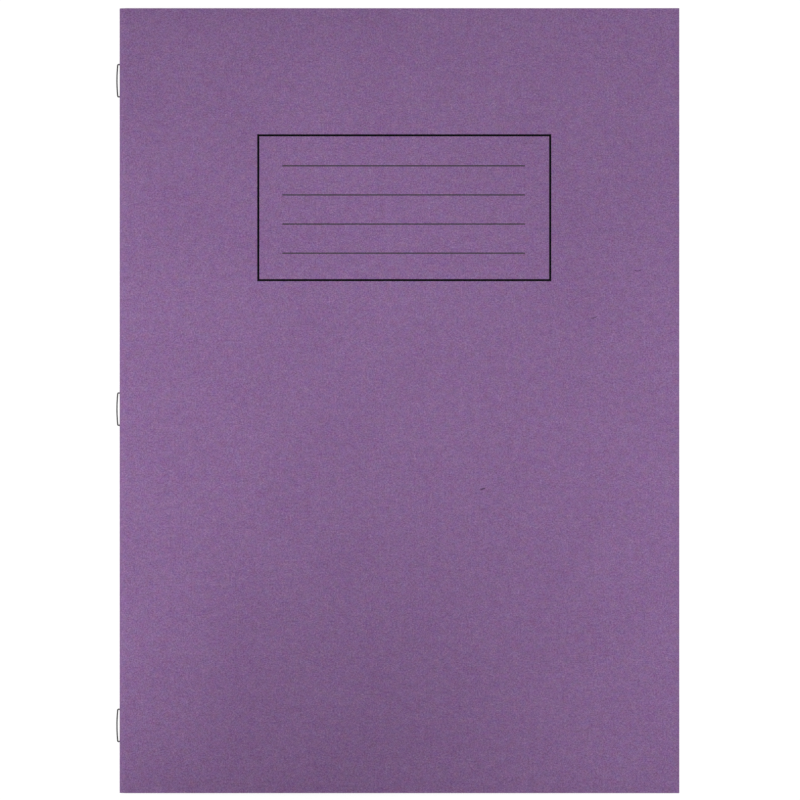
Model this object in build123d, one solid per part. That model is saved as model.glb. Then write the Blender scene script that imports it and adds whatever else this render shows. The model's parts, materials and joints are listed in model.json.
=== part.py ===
"""A stapled exercise book: a folded card cover, folded ruled sheets and three wire staples.

The closed book lies on its back cover. +Z points up out of the front cover, +Y to the head of the page and
+X to the fore-edge, so the spine is on the -X side. The origin is under the middle of the book's box.

Every fold is a half round about one line, the hinge line, which runs along the spine at half the book's
thickness. The sheets nest about it, and the clinched ends of the staples lie on it.
"""

import math
import os

from build123d import *

# The book, in millimetres
BOOK_HEIGHT = 297.0  # head to tail
BOOK_WIDTH = 211.8  # outside of the spine to the fore-edge
SHEET_COUNT = 16  # folded sheets, two leaves each

# The card and the paper
CARD_THICKNESS = 0.30
PAPER_THICKNESS = 0.10
AIR_GAP = 0.025  # between neighbouring leaves of the closed book

# The staples
WIRE_DIAMETER = 0.55
HEAD_STAPLE_INSET = 27.4  # head edge to the middle of its crown
MIDDLE_STAPLE_DROP = 3.2  # how far the middle staple lies below half height
TAIL_STAPLE_INSET = 25.6  # tail edge to the middle of its crown
CROWN_LENGTH = 12.75  # over the outsides of the legs
CROWN_STAND = 1.02  # middle of the crown's wire to the spine
CROWN_BOW = 0.31  # how far the crown bulges between its ends
CROWN_CORNER = 0.08  # inside radius of the bends beside the crown
CLINCH_LENGTH = 5.0  # leg to the tip of a clinched end
CLINCH_CLEARANCE = 0.075  # clinched wire to the innermost sheet
LEG_CLEARANCE = 0.05  # leg to the edge of its hole in a fold
LEG_PASSAGE = 0.10  # leg to the leaves, when the book lies open

# Worked out from the sizes above
WIRE_RADIUS = WIRE_DIAMETER / 2
LEAF_PITCH = PAPER_THICKNESS + AIR_GAP
CENTRE_RADIUS = WIRE_RADIUS + CLINCH_CLEARANCE
COVER_RADIUS = CENTRE_RADIUS + SHEET_COUNT * LEAF_PITCH
SPINE_RADIUS = COVER_RADIUS + CARD_THICKNESS
FOLD_LEAD = WIRE_RADIUS + LEG_PASSAGE
CROWN_REACH = CROWN_STAND + WIRE_RADIUS

FORE_EDGE_X = (BOOK_WIDTH + CROWN_REACH) / 2
HINGE_X = FORE_EDGE_X - BOOK_WIDTH + SPINE_RADIUS
HINGE_Z = SPINE_RADIUS
LEAF_START_X = HINGE_X + FOLD_LEAD

LEG_OFFSET = CROWN_LENGTH / 2 - WIRE_RADIUS
HOLE_RADIUS = WIRE_RADIUS + LEG_CLEARANCE
STAPLE_Y = {
    "head": BOOK_HEIGHT / 2 - HEAD_STAPLE_INSET,
    "middle": -MIDDLE_STAPLE_DROP,
    "tail": TAIL_STAPLE_INSET - BOOK_HEIGHT / 2,
}


def sheet_radius(number):
    """Inside radius of a sheet's fold. Sheet 1 lies next to the cover."""
    return CENTRE_RADIUS + (SHEET_COUNT - number) * LEAF_PITCH


def leaf(inner_radius, thickness, side):
    """The flat half of a folded sheet or card: side is 1 above the hinge line and -1 below it."""
    length = FORE_EDGE_X - LEAF_START_X
    middle_x = (FORE_EDGE_X + LEAF_START_X) / 2
    middle_z = HINGE_Z + side * (inner_radius + thickness / 2)
    return Pos(middle_x, 0, middle_z) * Box(length, BOOK_HEIGHT, thickness)


def fold(inner_radius, thickness):
    """The bend between two leaves, a half round with a short lead to each leaf, pierced for the staples."""
    outer_radius = inner_radius + thickness
    outside = ThreePointArc((0, outer_radius), (-outer_radius, 0), (0, -outer_radius))
    inside = ThreePointArc((0, inner_radius), (-inner_radius, 0), (0, -inner_radius))
    lead_end = [(FOLD_LEAD, outer_radius), (FOLD_LEAD, inner_radius)]
    front_lead = Polyline((0, outer_radius), *lead_end, (0, inner_radius))
    back_lead = mirror(front_lead, about=Plane.XZ)
    profile = make_face([*outside.edges(), *inside.edges(), *front_lead.edges(), *back_lead.edges()])
    bend = extrude(Plane.XZ * profile, amount=BOOK_HEIGHT / 2, both=True)
    return Pos(HINGE_X, 0, HINGE_Z) * bend - leg_holes(outer_radius)


def leg_holes(depth):
    """Six round holes along X, from the hinge line out through a fold of this radius."""
    length = depth + WIRE_DIAMETER
    hole = Pos(HINGE_X - length / 2, 0, HINGE_Z) * Rot(0, 90, 0) * Cylinder(HOLE_RADIUS, length)
    return [Pos(0, y + side * LEG_OFFSET, 0) * hole for y in STAPLE_Y.values() for side in (1, -1)]


def staple_wire():
    """One staple about the hinge line, its crown to the -X side and its clinched ends on the line."""
    clinch_bend = CENTRE_RADIUS
    crown_bend = WIRE_RADIUS + CROWN_CORNER
    crown_radius = (LEG_OFFSET**2 + CROWN_BOW**2) / (2 * CROWN_BOW)
    corner_y = LEG_OFFSET - crown_bend
    corner_reach = crown_radius - crown_bend
    crown_tilt = math.asin(corner_y / corner_reach)
    corner_x = crown_radius - SPINE_RADIUS - CROWN_STAND - corner_reach * math.cos(crown_tilt)

    upper_end = Line((0, LEG_OFFSET - CLINCH_LENGTH), (0, LEG_OFFSET - clinch_bend))
    upper_clinch = JernArc(upper_end @ 1, upper_end % 1, clinch_bend, 90)
    upper_leg = Line(upper_clinch @ 1, (corner_x, LEG_OFFSET))
    upper_corner = JernArc(upper_leg @ 1, upper_leg % 1, crown_bend, 90 - math.degrees(crown_tilt))
    crown = JernArc(upper_corner @ 1, upper_corner % 1, crown_radius, 2 * math.degrees(crown_tilt))
    lower_corner = JernArc(crown @ 1, crown % 1, crown_bend, 90 - math.degrees(crown_tilt))
    lower_leg = Line(lower_corner @ 1, (-clinch_bend, -LEG_OFFSET))
    lower_clinch = JernArc(lower_leg @ 1, lower_leg % 1, clinch_bend, 90)
    lower_end = Line(lower_clinch @ 1, (0, CLINCH_LENGTH - LEG_OFFSET))

    upper = [upper_end, upper_clinch, upper_leg, upper_corner]
    lower = [lower_corner, lower_leg, lower_clinch, lower_end]
    path = Wire([piece.edge() for piece in [*upper, crown, *lower]])
    section = Plane(origin=path @ 0, z_dir=path % 0) * Circle(WIRE_RADIUS)
    return sweep(section, path=path)


def book():
    """Every piece of the book, by name."""
    pieces = {
        "front_cover": leaf(COVER_RADIUS, CARD_THICKNESS, 1),
        "cover_spine": fold(COVER_RADIUS, CARD_THICKNESS),
        "back_cover": leaf(COVER_RADIUS, CARD_THICKNESS, -1),
    }
    for number in range(1, SHEET_COUNT + 1):
        radius = sheet_radius(number)
        pieces[f"sheet_{number:02d}_front_leaf"] = leaf(radius, PAPER_THICKNESS, 1)
        pieces[f"sheet_{number:02d}_fold"] = fold(radius, PAPER_THICKNESS)
        pieces[f"sheet_{number:02d}_back_leaf"] = leaf(radius, PAPER_THICKNESS, -1)
    wire = staple_wire()
    for name, y in STAPLE_Y.items():
        pieces[f"{name}_staple"] = Pos(HINGE_X, y, HINGE_Z) * wire
    return pieces


def main():
    os.makedirs("parts", exist_ok=True)
    for name, piece in book().items():
        piece.label = name
        export_step(piece, f"parts/{name}.step")


main()
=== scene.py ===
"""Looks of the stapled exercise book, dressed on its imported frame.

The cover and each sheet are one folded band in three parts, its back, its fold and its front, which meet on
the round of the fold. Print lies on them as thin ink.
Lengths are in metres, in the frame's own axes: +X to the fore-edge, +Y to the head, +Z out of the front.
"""

import json
import math
import random

import bmesh
import bpy
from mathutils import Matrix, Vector


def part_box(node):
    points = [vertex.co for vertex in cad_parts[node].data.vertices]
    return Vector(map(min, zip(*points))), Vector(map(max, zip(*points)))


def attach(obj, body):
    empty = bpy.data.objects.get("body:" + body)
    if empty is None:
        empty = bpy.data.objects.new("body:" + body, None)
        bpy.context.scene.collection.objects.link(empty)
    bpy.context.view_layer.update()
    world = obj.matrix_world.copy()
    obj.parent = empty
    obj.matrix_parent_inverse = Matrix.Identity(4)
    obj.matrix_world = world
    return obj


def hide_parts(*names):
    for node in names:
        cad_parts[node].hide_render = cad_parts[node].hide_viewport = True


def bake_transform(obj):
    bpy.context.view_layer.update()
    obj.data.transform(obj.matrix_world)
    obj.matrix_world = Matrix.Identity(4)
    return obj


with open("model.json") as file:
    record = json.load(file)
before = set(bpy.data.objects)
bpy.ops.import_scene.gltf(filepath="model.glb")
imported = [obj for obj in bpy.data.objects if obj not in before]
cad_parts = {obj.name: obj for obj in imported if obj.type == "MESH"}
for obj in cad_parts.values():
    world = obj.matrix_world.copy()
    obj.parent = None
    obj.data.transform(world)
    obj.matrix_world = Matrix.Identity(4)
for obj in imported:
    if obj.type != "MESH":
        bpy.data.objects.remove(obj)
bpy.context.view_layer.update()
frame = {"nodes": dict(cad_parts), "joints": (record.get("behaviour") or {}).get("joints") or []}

MM = 0.001

# Places on the book, from its frame
COVER_JOINT = next(joint for joint in frame["joints"] if joint["name"] == "cover_opening")
HINGE = Vector(COVER_JOINT["pos_m"])
FRONT_LOW, FRONT_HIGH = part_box("front_cover")
LEAF_START = FRONT_LOW.x
FORE_EDGE = FRONT_HIGH.x
TAIL = FRONT_LOW.y
HEAD = FRONT_HIGH.y
COVER_RADIUS = FRONT_LOW.z - HINGE.z
SPINE_RADIUS = FRONT_HIGH.z - HINGE.z
SPINE_FACE = HINGE.x - SPINE_RADIUS
SHEETS = sorted(name[: -len("_fold")] for name in frame["nodes"] if name.endswith("_fold"))
SIDES = {"front": 1, "back": -1}
FLAT = (0, 0)
STAPLES = [name for name in frame["nodes"] if name.endswith("_staple")]

# How the closed book lies: off their folds the leaves settle together, and the fore-edge curls up a little
SETTLE_LENGTH = 14 * MM
SETTLE_STEPS = 7
CURL_LENGTH = 40 * MM
CURL_STEPS = 8
COVER_CURL = 0.5 * MM
HEAD_CORNER_CURL = 0.2 * MM
TAIL_CORNER_CURL = 0.3 * MM

# The air between the leaves: the seed of its draw, and the least and most weight that a gap gets in it
AIR_SEED = 7
AIR_SHARES = (0.3, 1.7)

# A fold: its steps, those of them in its back and in its front part, and how its middle part turns
FOLD_STEPS = 36
FOLD_CUT_STEPS = 5
FOLD_CUT = math.radians(90 - 180 * FOLD_CUT_STEPS / FOLD_STEPS)
FOLD_END_DRAW = 0.02
CUT_TOLERANCE = 0.001

# The cover's rows of faces from tail to head, and the rounding of its cut edges
COVER_ROWS = 24
CARD_EDGE_ROUND = 0.04 * MM
CARD_EDGE_ANGLE = 60

# Faces that meet more sharply than this, in degrees, keep a crisp edge
CRISP_ANGLE = 40

# The printed label: the middles of its lines, from the spine and from the head
LABEL_LEFT = 52.50 * MM
LABEL_RIGHT = 162.95 * MM
LABEL_TOP = 48.10 * MM
LABEL_BOTTOM = 102.90 * MM
LABEL_LINE = 0.84 * MM
WRITING_LEFT = 61.6 * MM
WRITING_RIGHT = 153.4 * MM
WRITING_FIRST = 59.66 * MM
WRITING_PITCH = 11.01 * MM
WRITING_COUNT = 4
WRITING_LINE = 0.46 * MM

# One long dark fibre in the card, from the spine and from the head
FIBRE_X = 137.5 * MM
FIBRE_Y = 181.9 * MM
FIBRE_LENGTH = 2.5 * MM
FIBRE_WIDTH = 0.65 * MM
FIBRE_TILT = 20
FIBRE_RIM = (0.6, 1.1)
FIBRE_DARKNESS = 0.92

# The ruling of the pages
RULE_FIRST = 25 * MM
RULE_PITCH = 8 * MM
RULE_COUNT = 34
RULE_LINE = 0.35 * MM
MARGIN_INSET = 20 * MM
MARGIN_LINE = 0.40 * MM

# Ink stops this far from a cut edge, stands this far off the surface, and reaches this far into it
INK_STOP = 0.3 * MM
INK_HEIGHT = 0.003 * MM
MARGIN_HEIGHT = 0.005 * MM
INK_DEPTH = 0.02 * MM

# Colours, linear
CARD_PURPLE = (0.240, 0.129, 0.293, 1)
CARD_DARK = (0.070, 0.035, 0.090, 1)
PAPER_WHITE = (0.88, 0.88, 0.86, 1)
PAPER_SHADE = (0.80, 0.80, 0.77, 1)
LABEL_BLACK = (0.004, 0.004, 0.005, 1)
LABEL_WORN = (0.016, 0.012, 0.018, 1)
WRITING_GREY = (0.040, 0.042, 0.038, 1)
WRITING_WORN = (0.070, 0.060, 0.074, 1)
RULE_BLUE = (0.012, 0.190, 0.500, 1)
RULE_WORN = (0.16, 0.34, 0.62, 1)
MARGIN_RED = (0.760, 0.030, 0.040, 1)
MARGIN_WORN = (0.85, 0.20, 0.20, 1)
# The wire's grey is far darker than the steel's own colour: a painted dark reflection
WIRE_GREY_WITH_PAINTED_DARK_REFLECTION = (0.058, 0.058, 0.055, 1)
WIRE_SPOT = (0.024, 0.022, 0.020, 1)
FLOOR_LIT = (0.8, 0.8, 0.8, 1)
FLOOR_SEEN = (0.2, 0.2, 0.2, 1)

# The card's patterns: features to the metre, and how far each swings the brightness or the dyes
GRAIN_SCALE = 1300
GRAIN_SWING = 0.47
SPECK_SCALE = 2700
SPECK_SWING = 0.56
MOTTLE_SCALE = 330
MOTTLE_SWING = 0.14
CLOUD_SCALE = 40
CLOUD_SWING = 0.05
DYE_SCALE = 350.0
DYE_SWING = 0.225
PALE_SLOPE = -0.5
FELT_SCALE = 1500
FELT_STRETCH = (1, 0.3, 1)
FELT_DEPTH = 0.02 * MM
CARD_ROUGHNESS = (0.66, 0.82)
CARD_SHEEN = 0.12

# The card's flecks and stray fibres: features to the metre, where each fades out, and which are chosen
FLECK_SCALE = 330.0
FLECK_RIM = (0.04, 0.10)
FLECK_CHOICE = (0.70, 0.74)
FLECK_DARKNESS = 0.5
STRAND_SCALE = 160
STRAND_RIM = (0.006, 0.014)
STRAND_DARKNESS = 0.8
CLUMP_SCALE = 60.0
CLUMP_RIM = (0.06, 0.09)
CLUMP_CHOICE = (0.86, 0.88)

# The paper's clouds and tooth
PAPER_CLOUD_SCALE = 240
PAPER_CLOUD_SPREAD = (0.35, 0.75)
PAPER_CLOUD_SHARE = 0.35
PAPER_TOOTH_SCALE = 3000
PAPER_TOOTH_SHARE = 0.15
PAPER_TOOTH_DEPTH = 0.01 * MM
PAPER_ROUGHNESS = (0.78, 0.9)
PAPER_SHEEN = 0.3

# The ink: how it breaks up along the tooth, and how rough it dries
INK_TOOTH_SCALE = 2600
INK_BREAK = (0.52, 0.78)
INK_BREAK_SHARE = 0.6
INK_SHEEN = 0.03
PAGE_INK_ROUGHNESS = 0.6
LABEL_INK_ROUGHNESS = 0.7
INK_ROUGHNESS_SPREAD = 0.15

# The wire's streaks and its dulled skin
STREAK_SCALE = 9000
STREAK_STRETCH = (1, 0.05, 1)
STREAK_SWING = 0.25
STREAK_DEPTH = 0.004 * MM
DULL_SCALE = 1200
DULL_SPOTS = (0.60, 0.72)
WIRE_ROUGHNESS = (0.30, 0.5)

# The middle of a noise's spread, over which roughness varies
MIDDLE_SPREAD = (0.3, 0.7)
WIDE_SPREAD = (0.2, 0.8)

# The floor: its half side, how far it lies below the book, and its glow from near the book to far away
FLOOR_REACH = 3
FLOOR_DROP = 0.02 * MM
FLOOR_FADE = (0.25, 0.9)
FLOOR_GLOW = (0.89, 0.96)

# The light: strength of the even sky, and the height and softness of the lamps that make pools
AMBIENT = 0.432
POOL_HEIGHT = 1.2
POOL_SOFTNESS = 0.02

# The picture: how much of the plane of the front cover it takes in, and where the cover sits in it
PICTURE_PIXELS = 800
PICTURE_SCALE = 0.37834 * MM
COVER_PIXEL = (399.42, 400.66)
LENS = 800

SURFACE_UV = "surface"

# Sockets of a Mix node that mixes colours
MIX_FACTOR = 0
MIX_FIRST = 6
MIX_SECOND = 7
MIX_RESULT = 2


def curl(x):
    """Share of the fore-edge curl at x: none on the flat of the leaf, growing to 1 at the fore-edge."""
    return max(0.0, (x - FORE_EDGE + CURL_LENGTH) / CURL_LENGTH) ** 2


def settle(x):
    """Share of the settling of a leaf at x: none at its fold, and 1 on the flat of the leaf."""
    share = min(1.0, (x - LEAF_START) / SETTLE_LENGTH)
    return share * share * (3 - 2 * share)


def rise(x, lie):
    """How far a leaf stands out from its flat place at x: lie is its curl outwards and settling inwards."""
    lift, sink = lie
    return lift * curl(x) - sink * settle(x)


def leaf_line(side, radius, lie, end=FORE_EDGE):
    """Points (x, z) of a leaf's surface from its fold to its end: side is 1 in front and -1 at the back."""
    near_fold = [LEAF_START + SETTLE_LENGTH * step / SETTLE_STEPS for step in range(SETTLE_STEPS + 1)]
    near_edge = [FORE_EDGE - CURL_LENGTH * (1 - step / CURL_STEPS) for step in range(CURL_STEPS)]
    return [(x, HINGE.z + side * (radius + rise(x, lie))) for x in (*near_fold, *near_edge, end)]


def rule_line(side, radius, lie):
    """Points (x, z) of a rule on a leaf's surface, from the round of its fold to its end by the fore-edge."""
    return [(HINGE.x, HINGE.z + side * radius), *leaf_line(side, radius, lie, FORE_EDGE - INK_STOP)]


def folded_line(radius, back_lie, front_lie):
    """Points (x, z) of a surface folded at the spine, from its back end round the fold to its front end."""
    turns = [math.radians(270 - 180 * step / FOLD_STEPS) for step in range(FOLD_STEPS + 1)]
    bend = [(HINGE.x + radius * math.cos(turn), HINGE.z + radius * math.sin(turn)) for turn in turns]
    back = leaf_line(SIDES["back"], radius, back_lie)
    front = leaf_line(SIDES["front"], radius, front_lie)
    return [*reversed(back), *bend, *front]


def part_span(part, count):
    """First and last point of one part of a folded line of so many points."""
    first = (count - FOLD_STEPS - 1) // 2 + FOLD_CUT_STEPS
    last = count - 1 - first
    return {"back": (0, first), "fold": (first, last), "front": (last, count - 1)}[part]


def path_lengths(profile):
    """Distance along a profile to each of its points."""
    lengths = [0.0]
    for (x0, z0), (x1, z1) in zip(profile, profile[1:]):
        lengths.append(lengths[-1] + math.hypot(x1 - x0, z1 - z0))
    return lengths


def new_piece(name, shape, *materials):
    """A mesh object at the origin, from a bmesh, with smooth faces and crisp edges."""
    mesh = bpy.data.meshes.new(name)
    shape.to_mesh(mesh)
    shape.free()
    mesh.shade_smooth()
    mesh.set_sharp_from_angle(angle=math.radians(CRISP_ANGLE))
    for material in materials:
        mesh.materials.append(material)
    piece = bpy.data.objects.new(name, mesh)
    bpy.context.scene.collection.objects.link(piece)
    return piece


def band(inside, outside, rows, part=None):
    """A closed band between two profiles, each a function of y, through the given rows of y, or a part of it.

    Its UV map is in metres: along the profile, and along y. The inside has a stretch of the map of its own.
    """
    shape = bmesh.new()
    surface = shape.loops.layers.uv.new(SURFACE_UV)
    lengths = path_lengths(outside(rows[0]))
    first, last = part_span(part, len(lengths)) if part else (0, len(lengths) - 1)
    places = {}
    sides = []
    for shift, side in enumerate((inside, outside)):
        grid = []
        for y in rows:
            line = [shape.verts.new((x, y, z)) for x, z in side(y)[first : last + 1]]
            for vertex, length in zip(line, lengths[first:]):
                places[vertex] = (length, y, 1 - shift)
            grid.append(line)
        sides.append(grid)
    for grid in sides:
        for line, following in zip(grid, grid[1:]):
            for i in range(last - first):
                shape.faces.new((line[i], line[i + 1], following[i + 1], following[i]))
    inner, outer = sides
    for row in (0, -1):
        for i in range(last - first):
            shape.faces.new((inner[row][i], inner[row][i + 1], outer[row][i + 1], outer[row][i]))
    for end in (0, -1):
        for row in range(len(rows) - 1):
            shape.faces.new((inner[row][end], inner[row + 1][end], outer[row + 1][end], outer[row][end]))
    bmesh.ops.recalc_face_normals(shape, faces=shape.faces)
    for face in shape.faces:
        on_inside = all(places[vertex][2] for vertex in face.verts)
        for loop in face.loops:
            length, y, inward = places[loop.vert]
            nudge = 1.0 if on_inside else inward * INK_DEPTH
            loop[surface].uv = (length, y + nudge)
    return shape


def draw_in(shape):
    """Draws in the ends of a fold a little towards the middle of the book, more the farther out they lie."""
    for vertex in shape.verts:
        depth = max(0.0, HINGE.x - vertex.co.x)
        vertex.co.y -= math.copysign(FOLD_END_DRAW * depth, vertex.co.y)


def bar(low, high):
    """A closed box between two corners, with its faces mapped in metres from above."""
    shape = bmesh.new()
    bmesh.ops.create_cube(shape, size=1)
    for vertex in shape.verts:
        vertex.co = [(low[k] + high[k]) / 2 + vertex.co[k] * (high[k] - low[k]) for k in range(3)]
    map_from_above(shape)
    return shape


def map_from_above(shape):
    """A UV map in metres, as seen along Z."""
    surface = shape.loops.layers.uv.new(SURFACE_UV)
    for face in shape.faces:
        for loop in face.loops:
            loop[surface].uv = loop.vert.co.xy


def add(tree, kind, inputs=None, **settings):
    """A node with its settings, and its inputs set to values or joined to other nodes' outputs."""
    made = tree.nodes.new(kind)
    for key, value in settings.items():
        setattr(made, key, value)
    for key, value in (inputs or {}).items():
        if isinstance(value, bpy.types.NodeSocket):
            tree.links.new(value, made.inputs[key])
        else:
            made.inputs[key].default_value = value
    return made


def math_node(tree, operation, first, second, third=0.0):
    """One step of arithmetic on node values."""
    return add(tree, "ShaderNodeMath", {0: first, 1: second, 2: third}, operation=operation).outputs[0]


def noise(tree, place, scale, detail=2.0, roughness=0.5):
    """Soft noise about 0.5, with features of about 1 / scale metres."""
    inputs = {"Vector": place, "Scale": scale, "Detail": detail, "Roughness": roughness}
    return add(tree, "ShaderNodeTexNoise", inputs).outputs["Fac"]


def swing(tree, value, share):
    """A noise about 0.5 as a factor about 1 that swings by this share each way."""
    return math_node(tree, "MULTIPLY_ADD", value, 2 * share, 1 - share)


def stretched(tree, place, scale, shift=(0, 0, 0)):
    """The same place, drawn out and moved, for a pattern of its own."""
    return add(tree, "ShaderNodeMapping", {"Vector": place, "Scale": scale, "Location": shift}).outputs[0]


def moved(tree, place, *shift):
    """The same place, moved, so that two patterns don't share their features."""
    return stretched(tree, place, (1, 1, 1), shift)


def mixed(tree, factor, first, second):
    """A colour between two others."""
    inputs = {MIX_FACTOR: factor, MIX_FIRST: first, MIX_SECOND: second}
    return add(tree, "ShaderNodeMix", inputs, data_type="RGBA", clamp_factor=True).outputs[MIX_RESULT]


def ramp(tree, value, low, high, first=0.0, second=1.0):
    """A value stretched from low to high, smoothly, and held outside them."""
    inputs = {"Value": value, "From Min": low, "From Max": high, "To Min": first, "To Max": second}
    return add(tree, "ShaderNodeMapRange", inputs, interpolation_type="SMOOTHSTEP").outputs[0]


def new_material(name):
    """A material with its node tree, its shader and its piece's surface place."""
    material = bpy.data.materials.new(name)
    material.use_nodes = True
    tree = material.node_tree
    shader = tree.nodes["Principled BSDF"]
    place = add(tree, "ShaderNodeUVMap", uv_map=SURFACE_UV).outputs[0]
    return material, tree, shader, place


def bumped(tree, shader, height, depth, strength):
    """Relief on the shader, of this depth in metres."""
    relief = add(tree, "ShaderNodeBump", {"Height": height, "Distance": depth, "Strength": strength})
    tree.links.new(relief.outputs[0], shader.inputs["Normal"])


def purple_card():
    """Manila card dyed through: fine grain, soft clouds, uneven dyes, dark flecks and a few stray fibres."""
    material, tree, shader, place = new_material("purple_card")
    grain = noise(tree, place, GRAIN_SCALE, detail=3, roughness=0.65)
    speck = noise(tree, moved(tree, place, 2, 9, 0), SPECK_SCALE, detail=1)
    mottle = noise(tree, moved(tree, place, 3, 1, 0), MOTTLE_SCALE, roughness=0.6)
    clouds = noise(tree, place, CLOUD_SCALE)
    tint = uneven_dyes(tree, moved(tree, place, 7, 2, 0))

    bright = math_node(tree, "MULTIPLY", swing(tree, grain, GRAIN_SWING), swing(tree, mottle, MOTTLE_SWING))
    bright = math_node(tree, "MULTIPLY", bright, swing(tree, speck, SPECK_SWING))
    bright = math_node(tree, "MULTIPLY", bright, swing(tree, clouds, CLOUD_SWING))
    pale = math_node(tree, "MULTIPLY_ADD", bright, PALE_SLOPE, 1 - PALE_SLOPE)
    shades = {"Saturation": pale, "Value": bright, "Color": tint}
    dye = add(tree, "ShaderNodeHueSaturation", shades).outputs[0]

    marks = math_node(tree, "MAXIMUM", flecks(tree, place), stray_fibres(tree, place))
    marks = math_node(tree, "MAXIMUM", marks, long_fibre(tree, place))
    tree.links.new(mixed(tree, marks, dye, CARD_DARK), shader.inputs["Base Color"])
    tree.links.new(ramp(tree, mottle, *WIDE_SPREAD, *CARD_ROUGHNESS), shader.inputs["Roughness"])
    felt = math_node(tree, "ADD", grain, noise(tree, stretched(tree, place, FELT_STRETCH), FELT_SCALE))
    bumped(tree, shader, felt, FELT_DEPTH, strength=0.35)
    shader.inputs["Specular IOR Level"].default_value = CARD_SHEEN
    return material


def uneven_dyes(tree, place):
    """The card's colour, with each of its three dyes a little stronger here and weaker there."""
    drift = {"Vector": place, "Scale": DYE_SCALE, "Detail": 4.0, "Roughness": 0.7}
    dyes = add(tree, "ShaderNodeTexNoise", drift).outputs["Color"]
    evenness = {0: dyes, 1: [2 * DYE_SWING] * 3, 2: [1 - DYE_SWING] * 3}
    uneven = add(tree, "ShaderNodeVectorMath", evenness, operation="MULTIPLY_ADD").outputs[0]
    tinted = {0: uneven, 1: CARD_PURPLE[:3]}
    return add(tree, "ShaderNodeVectorMath", tinted, operation="MULTIPLY").outputs[0]


def flecks(tree, place):
    """How far a spot lies in a small dark fleck: one in some of the cells of a loose pattern."""
    cell = add(tree, "ShaderNodeTexVoronoi", {"Vector": place, "Scale": FLECK_SCALE})
    rare = add(tree, "ShaderNodeSeparateColor", {"Color": cell.outputs["Color"]}).outputs[0]
    near = ramp(tree, cell.outputs["Distance"], *FLECK_RIM, 1, 0)
    return math_node(tree, "MULTIPLY", near, ramp(tree, rare, *FLECK_CHOICE, 0, FLECK_DARKNESS))


def stray_fibres(tree, place):
    """How far a spot lies in a stray fibre: short winding lines in a few patches."""
    strand = noise(tree, moved(tree, place, 1, 5, 0), STRAND_SCALE, detail=1)
    off_line = math_node(tree, "ABSOLUTE", math_node(tree, "SUBTRACT", strand, 0.5), 0)
    line = ramp(tree, off_line, *STRAND_RIM, 1, 0)
    clump = add(tree, "ShaderNodeTexVoronoi", {"Vector": place, "Scale": CLUMP_SCALE})
    chosen = add(tree, "ShaderNodeSeparateColor", {"Color": clump.outputs["Color"]}).outputs[1]
    near = ramp(tree, clump.outputs["Distance"], *CLUMP_RIM, 1, 0)
    patch = math_node(tree, "MULTIPLY", near, ramp(tree, chosen, *CLUMP_CHOICE))
    return math_node(tree, "MULTIPLY", math_node(tree, "MULTIPLY", line, patch), STRAND_DARKNESS)


def long_fibre(tree, place):
    """How far a spot lies in the one long fibre, by its place on the outside of the cover."""
    to_fore_edge = path_lengths(folded_line(SPINE_RADIUS, FLAT, FLAT))[-1]
    spot = (to_fore_edge - FORE_EDGE + SPINE_FACE + FIBRE_X, HEAD - FIBRE_Y, 0)
    tilt = (0, 0, math.radians(FIBRE_TILT))
    size = (FIBRE_LENGTH / 2, FIBRE_WIDTH / 2, 1)
    layout = {"Vector": place, "Location": spot, "Rotation": tilt, "Scale": size}
    within = add(tree, "ShaderNodeMapping", layout, vector_type="TEXTURE").outputs[0]
    reach = add(tree, "ShaderNodeVectorMath", {0: within}, operation="LENGTH").outputs["Value"]
    return ramp(tree, reach, *FIBRE_RIM, FIBRE_DARKNESS, 0)


def page_paper():
    """Smooth white writing paper, with a faint cloudiness and a fine tooth."""
    material, tree, shader, place = new_material("page_paper")
    clouds = noise(tree, place, PAPER_CLOUD_SCALE, detail=3, roughness=0.6)
    tooth = noise(tree, place, PAPER_TOOTH_SCALE)
    cloudy = ramp(tree, clouds, *PAPER_CLOUD_SPREAD)
    fine = math_node(tree, "MULTIPLY", tooth, PAPER_TOOTH_SHARE)
    shade = math_node(tree, "MULTIPLY_ADD", cloudy, PAPER_CLOUD_SHARE, fine)
    tree.links.new(mixed(tree, shade, PAPER_WHITE, PAPER_SHADE), shader.inputs["Base Color"])
    tree.links.new(ramp(tree, tooth, *MIDDLE_SPREAD, *PAPER_ROUGHNESS), shader.inputs["Roughness"])
    bumped(tree, shader, tooth, PAPER_TOOTH_DEPTH, strength=0.3)
    shader.inputs["Specular IOR Level"].default_value = PAPER_SHEEN
    return material


def printed_ink(name, colour, worn, roughness):
    """A thin printed line: its density breaks up a little along the paper's tooth."""
    material, tree, shader, place = new_material(name)
    tooth = noise(tree, place, INK_TOOTH_SCALE, roughness=0.7)
    thin = ramp(tree, tooth, *INK_BREAK, 0, INK_BREAK_SHARE)
    tree.links.new(mixed(tree, thin, colour, worn), shader.inputs["Base Color"])
    rough = ramp(tree, tooth, *MIDDLE_SPREAD, roughness, roughness + INK_ROUGHNESS_SPREAD)
    tree.links.new(rough, shader.inputs["Roughness"])
    shader.inputs["Specular IOR Level"].default_value = INK_SHEEN
    return material


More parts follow.
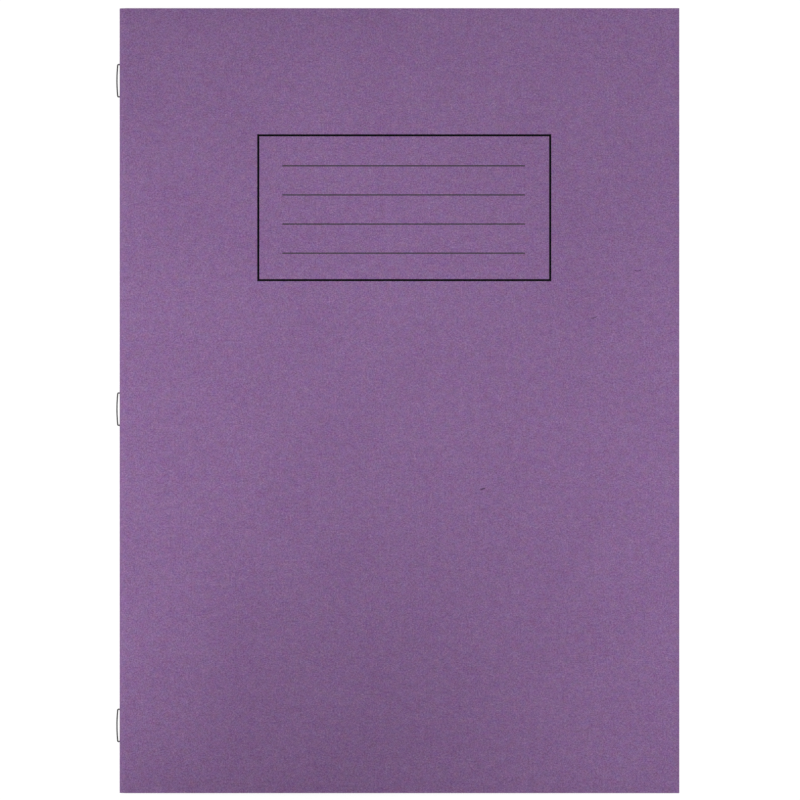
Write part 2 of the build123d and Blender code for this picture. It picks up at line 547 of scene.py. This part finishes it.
def staple_steel():
    """Drawn steel wire, its grey darkened all over far below the steel's own as a painted dark reflection:
    fine streaks along it, a dulled skin and a few darker spots.
    """
    material, tree, shader, _ = new_material("staple_steel")
    place = add(tree, "ShaderNodeTexCoord").outputs["Object"]
    streak = noise(tree, stretched(tree, place, STREAK_STRETCH), STREAK_SCALE)
    dull = noise(tree, place, DULL_SCALE, detail=3, roughness=0.6)
    spot = ramp(tree, dull, *DULL_SPOTS)
    # The steel's grey here carries a painted dark reflection, darker than the steel itself
    shades = {"Value": swing(tree, streak, STREAK_SWING), "Color": WIRE_GREY_WITH_PAINTED_DARK_REFLECTION}
    tone = add(tree, "ShaderNodeHueSaturation", shades).outputs[0]
    tree.links.new(mixed(tree, spot, tone, WIRE_SPOT), shader.inputs["Base Color"])
    tree.links.new(ramp(tree, dull, *MIDDLE_SPREAD, *WIRE_ROUGHNESS), shader.inputs["Roughness"])
    bumped(tree, shader, streak, STREAK_DEPTH, strength=0.4)
    shader.inputs["Metallic"].default_value = 1.0
    return material


def repeat_tree():
    """Geometry nodes that set copies of one line at even steps and give them their ink."""
    tree = bpy.data.node_groups.new("ruled_lines", "GeometryNodeTree")
    sockets = {}
    kinds = {"Line": "Geometry", "Count": "Int", "Step": "Vector", "Ink": "Material"}
    for name, kind in kinds.items():
        sockets[name] = tree.interface.new_socket(name, in_out="INPUT", socket_type=f"NodeSocket{kind}")
    tree.interface.new_socket("Lines", in_out="OUTPUT", socket_type="NodeSocketGeometry")
    given = tree.nodes.new("NodeGroupInput").outputs
    steps = {"Count": given["Count"], "Offset": given["Step"]}
    places = add(tree, "GeometryNodeMeshLine", steps, mode="OFFSET")
    copied = {"Points": places.outputs[0], "Instance": given["Line"]}
    copies = add(tree, "GeometryNodeInstanceOnPoints", copied)
    real = add(tree, "GeometryNodeRealizeInstances", {"Geometry": copies.outputs[0]})
    inked = add(tree, "GeometryNodeSetMaterial", {"Geometry": real.outputs[0], "Material": given["Ink"]})
    add(tree, "NodeGroupOutput", {"Lines": inked.outputs[0]})
    return tree, {name: socket.identifier for name, socket in sockets.items()}


def repeated(piece, count, step, ink):
    """Turns a piece of one line into a plain mesh of count lines, each a step after the last."""
    tree, names = LINE_TREE
    modifier = piece.modifiers.new("lines", "NODES")
    modifier.node_group = tree
    modifier[names["Count"]] = count
    modifier[names["Step"]] = step
    modifier[names["Ink"]] = ink
    piece.update_tag()
    ready = piece.evaluated_get(bpy.context.evaluated_depsgraph_get())
    mesh = bpy.data.meshes.new_from_object(ready)
    piece.modifiers.clear()
    piece.data = mesh
    mesh.name = piece.name
    return piece


def bend_at_fold(piece):
    """Bakes the piece's placement into its mesh."""
    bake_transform(piece)


def at_cut(vertex):
    """Whether a point lies where two parts of a fold meet."""
    turn = math.atan2(abs(vertex.co.z - HINGE.z), HINGE.x - vertex.co.x)
    return abs(turn - FOLD_CUT) < CUT_TOLERANCE


def make_cover(card):
    """The card cover, folded once at the spine, its front curling a little at the fore-edge and corners."""

    def lie(y):
        middle = (HEAD + TAIL) / 2
        corner = HEAD_CORNER_CURL if y > middle else TAIL_CORNER_CURL
        return COVER_CURL + corner * abs((y - middle) / (HEAD - middle)) ** 3, 0

    def inside(y):
        return folded_line(COVER_RADIUS, FLAT, lie(y))

    def outside(y):
        return folded_line(SPINE_RADIUS, FLAT, lie(y))

    rows = [TAIL + (HEAD - TAIL) * row / COVER_ROWS for row in range(COVER_ROWS + 1)]
    nodes = {"back": "back_cover", "fold": "cover_spine", "front": "front_cover"}
    for part, node in nodes.items():
        shape = band(inside, outside, rows, part)
        draw_in(shape)
        turned = math.radians(CARD_EDGE_ANGLE)
        sharp = [edge for edge in shape.edges if edge.calc_face_angle(0) > turned]
        cut = [edge for edge in sharp if not all(at_cut(vertex) for vertex in edge.verts)]
        bmesh.ops.bevel(shape, geom=cut, offset=CARD_EDGE_ROUND, segments=2, profile=0.5, affect="EDGES")
        piece = new_piece(f"cover_{part}", shape, card)
        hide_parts(node)
        bend_at_fold(piece)


def make_label(black, grey):
    """The printed label on the front cover: a plain frame and its writing lines."""
    top = HINGE.z + SPINE_RADIUS
    low = top - INK_DEPTH
    high = top + INK_HEIGHT
    shape = bmesh.new()
    loops = []
    for out in (LABEL_LINE / 2, -LABEL_LINE / 2):
        left = SPINE_FACE + LABEL_LEFT - out
        right = SPINE_FACE + LABEL_RIGHT + out
        upper = HEAD - LABEL_TOP + out
        bottom = HEAD - LABEL_BOTTOM - out
        corners = [(left, bottom), (right, bottom), (right, upper), (left, upper)]
        loops.append([[shape.verts.new((x, y, z)) for z in (low, high)] for x, y in corners])
    for i in range(4):
        j = (i + 1) % 4
        (a, b), (c, d) = loops[0][i], loops[0][j]
        (e, f), (g, h) = loops[1][i], loops[1][j]
        for corners in ((a, c, d, b), (e, f, h, g), (b, d, h, f), (a, e, g, c)):
            shape.faces.new(corners)
    bmesh.ops.recalc_face_normals(shape, faces=shape.faces)
    map_from_above(shape)
    border = new_piece("label_frame", shape, black)

    first = HEAD - WRITING_FIRST
    near = (SPINE_FACE + WRITING_LEFT, first - WRITING_LINE / 2, low)
    far = (SPINE_FACE + WRITING_RIGHT, first + WRITING_LINE / 2, high)
    lines = new_piece("label_lines", bar(near, far), grey)
    repeated(lines, WRITING_COUNT, (0, -WRITING_PITCH, 0), grey)
    for piece in (border, lines):
        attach(piece, "front_cover")


def make_sheet(sheet, lies, paper):
    """One folded sheet of paper."""
    low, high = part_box(f"{sheet}_front_leaf")
    inside = low.z - HINGE.z
    outside = high.z - HINGE.z
    inner = folded_line(inside, lies["back"], lies["front"])
    outer = folded_line(outside, lies["back"], lies["front"])
    nodes = {"back": f"{sheet}_back_leaf", "fold": f"{sheet}_fold", "front": f"{sheet}_front_leaf"}
    for part, node in nodes.items():
        shape = band(lambda y: inner, lambda y: outer, [TAIL, HEAD], part)
        draw_in(shape)
        piece = new_piece(f"{sheet}_{part}_paper", shape, paper)
        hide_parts(node)
        bend_at_fold(piece)


def make_print(leaf, side, lie, blue, red):
    """The feint rules and the margin on each page of a leaf."""
    inside, outside = sorted(abs(corner.z - HINGE.z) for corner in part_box(f"{leaf}_leaf"))
    first = HEAD - RULE_FIRST
    rows = [first - RULE_LINE / 2, first + RULE_LINE / 2]
    rule = bmesh.new()
    margin = bmesh.new()
    for shape in (rule, margin):
        shape.loops.layers.uv.new(SURFACE_UV)
    for surface, outward in ((inside, -1), (outside, 1)):
        sunk = rule_line(side, surface - outward * INK_DEPTH, lie)
        raised = rule_line(side, surface + outward * INK_HEIGHT, lie)
        add_shape(rule, band(lambda y: sunk, lambda y: raised, rows))
        x = SPINE_FACE + MARGIN_INSET if side == outward else FORE_EDGE - MARGIN_INSET
        middle = surface + rise(x, lie)
        levels = [HINGE.z + side * (middle + outward * reach) for reach in (-INK_DEPTH, MARGIN_HEIGHT)]
        near = (x - MARGIN_LINE / 2, TAIL + INK_STOP, min(levels))
        far = (x + MARGIN_LINE / 2, HEAD - INK_STOP, max(levels))
        add_shape(margin, bar(near, far))
    rules = new_piece(f"{leaf}_rules", rule, blue)
    repeated(rules, RULE_COUNT, (0, -RULE_PITCH, 0), blue)
    margins = new_piece(f"{leaf}_margins", margin, red)
    for piece in (rules, margins):
        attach(piece, leaf)


def add_shape(shape, other):
    """Adds another bmesh to this one."""
    mesh = bpy.data.meshes.new("part")
    other.to_mesh(mesh)
    other.free()
    shape.from_mesh(mesh)
    bpy.data.meshes.remove(mesh)


def sheet_lies():
    """How the two leaves of each sheet lie: the air between leaves is spread unevenly through the book."""
    draw = random.Random(AIR_SEED)
    leaves = [(sheet, "back") for sheet in SHEETS] + [(sheet, "front") for sheet in reversed(SHEETS)]
    gaps = [draw.uniform(*AIR_SHARES) for _ in range(len(leaves) + 1)]
    low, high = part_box(f"{SHEETS[0]}_back_leaf")
    thickness = high.z - low.z
    air = 2 * COVER_RADIUS - thickness * len(leaves)
    lies = {sheet: {} for sheet in SHEETS}
    for number, (sheet, side) in enumerate(leaves):
        share = sum(gaps[: number + 1]) / sum(gaps)
        level = HINGE.z - COVER_RADIUS + thickness * number + air * share
        sink = SIDES[side] * (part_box(f"{sheet}_{side}_leaf")[0].z - level)
        lies[sheet][side] = (SIDES[side] * COVER_CURL * share, sink)
    return lies


def make_staples(steel):
    """The staples keep their own solids, in steel whose grey carries a painted dark reflection."""
    for name in STAPLES:
        wire = frame["nodes"][name].data
        wire.materials.clear()
        wire.materials.append(steel)


def seen_directly(tree):
    """1 for what the camera sees straight on, in a mirror or through glass, and 0 for light on its way."""
    path = add(tree, "ShaderNodeLightPath").outputs
    seen = math_node(tree, "MAXIMUM", path["Is Camera Ray"], path["Is Glossy Ray"])
    return math_node(tree, "MAXIMUM", seen, path["Is Transmission Ray"])


def make_floor():
    """A pale floor that shows white where it is lit, and keeps the book's shadow."""
    shape = bmesh.new()
    bmesh.ops.create_grid(shape, x_segments=1, y_segments=1, size=FLOOR_REACH)
    material = bpy.data.materials.new("studio_floor")
    material.use_nodes = True
    tree = material.node_tree
    tree.nodes.remove(tree.nodes["Principled BSDF"])
    seen = seen_directly(tree)
    matt = add(tree, "ShaderNodeBsdfDiffuse", {"Color": mixed(tree, seen, FLOOR_LIT, FLOOR_SEEN)})
    place = add(tree, "ShaderNodeTexCoord").outputs["Object"]
    away = add(tree, "ShaderNodeVectorMath", {0: place}, operation="LENGTH").outputs["Value"]
    fill = ramp(tree, away, *FLOOR_FADE, *FLOOR_GLOW)
    glow = add(tree, "ShaderNodeEmission", {"Strength": math_node(tree, "MULTIPLY", seen, fill)})
    both = add(tree, "ShaderNodeAddShader", {0: matt.outputs[0], 1: glow.outputs[0]})
    tree.links.new(both.outputs[0], tree.nodes["Material Output"].inputs["Surface"])
    floor = new_piece("floor", shape, material)
    floor.location.z = -FLOOR_DROP


def make_world():
    """White where it is seen, and an even soft light."""
    world = bpy.data.worlds.new("studio")
    bpy.context.scene.world = world
    world.use_nodes = True
    tree = world.node_tree
    strength = math_node(tree, "MULTIPLY_ADD", seen_directly(tree), 1 - AMBIENT, AMBIENT)
    sky = tree.nodes["Background"]
    sky.inputs["Color"].default_value = (1, 1, 1, 1)
    tree.links.new(strength, sky.inputs["Strength"])


def hang_lamp(name, kind, place, target, power, **settings):
    """A lamp that shines at its target and isn't seen itself."""
    lamp = bpy.data.lights.new(name, kind)
    lamp.energy = power
    for key, value in settings.items():
        setattr(lamp, key, value)
    hung = bpy.data.objects.new(name, lamp)
    hung.location = place
    hung.rotation_euler = (Vector(target) - Vector(place)).to_track_quat("-Z", "Y").to_euler()
    hung.visible_camera = False
    bpy.context.scene.collection.objects.link(hung)


def pool_of_light(name, x, y, radius, power):
    """A soft round pool of light on the table."""
    cone = 2 * math.atan(radius / POOL_HEIGHT)
    shape = {"spot_size": cone, "spot_blend": 1.0, "shadow_soft_size": POOL_SOFTNESS}
    hang_lamp(name, "SPOT", (x, y, POOL_HEIGHT), (x, y, 0), power, **shape)


def make_lamps():
    """Three soft lamps, from above and from both sides, and pools of light that even out the cover."""
    hang_lamp("overhead", "AREA", (0, 0.165, 0.7), (0, 0.165, 0), power=0.96, size=0.6)
    hang_lamp("left_strip", "AREA", (-1.0, -0.03, 0.4), (0, -0.03, 0), power=2.78, size=0.3)
    hang_lamp("right_strip", "AREA", (0.7, -0.05, 0.28), (0, -0.05, 0), power=0.68, size=0.2)
    pool_of_light("middle_pool", x=-0.100, y=0.018, radius=0.190, power=10.9)
    pool_of_light("left_pool", x=-0.172, y=-0.009, radius=0.155, power=8.2)
    pool_of_light("right_pool", x=0.210, y=0.098, radius=0.316, power=10.2)
    pool_of_light("low_left_pool", x=-0.166, y=-0.130, radius=0.110, power=8.2)
    pool_of_light("low_right_pool", x=0.210, y=-0.100, radius=0.242, power=10.5)


def make_camera():
    """A long lens straight above the front cover, framed as in the photograph."""
    data = bpy.data.cameras.new("camera")
    data.lens = LENS
    camera = bpy.data.objects.new("camera", data)
    width = PICTURE_PIXELS * PICTURE_SCALE
    middle = PICTURE_PIXELS / 2
    camera.location.x = (SPINE_FACE + FORE_EDGE) / 2 + (middle - COVER_PIXEL[0]) * PICTURE_SCALE
    camera.location.y = (HEAD + TAIL) / 2 + (COVER_PIXEL[1] - middle) * PICTURE_SCALE
    camera.location.z = HINGE.z + SPINE_RADIUS + width * data.lens / data.sensor_width
    bpy.context.scene.collection.objects.link(camera)
    bpy.context.scene.camera = camera


# One tree for all the lines that repeat: on the label and on the pages
LINE_TREE = repeat_tree()


def main():
    bpy.context.scene.view_settings.view_transform = "Standard"
    paper = page_paper()
    blue = printed_ink("rule_ink", RULE_BLUE, RULE_WORN, PAGE_INK_ROUGHNESS)
    red = printed_ink("margin_ink", MARGIN_RED, MARGIN_WORN, PAGE_INK_ROUGHNESS)
    make_cover(purple_card())
    black = printed_ink("label_ink", LABEL_BLACK, LABEL_WORN, LABEL_INK_ROUGHNESS)
    grey = printed_ink("writing_ink", WRITING_GREY, WRITING_WORN, LABEL_INK_ROUGHNESS)
    make_label(black, grey)
    for sheet, lies in sheet_lies().items():
        make_sheet(sheet, lies, paper)
        for name, side in SIDES.items():
            make_print(f"{sheet}_{name}", side, lies[name], blue, red)
    make_staples(staple_steel())
    make_floor()
    make_world()
    make_lamps()
    make_camera()


main()
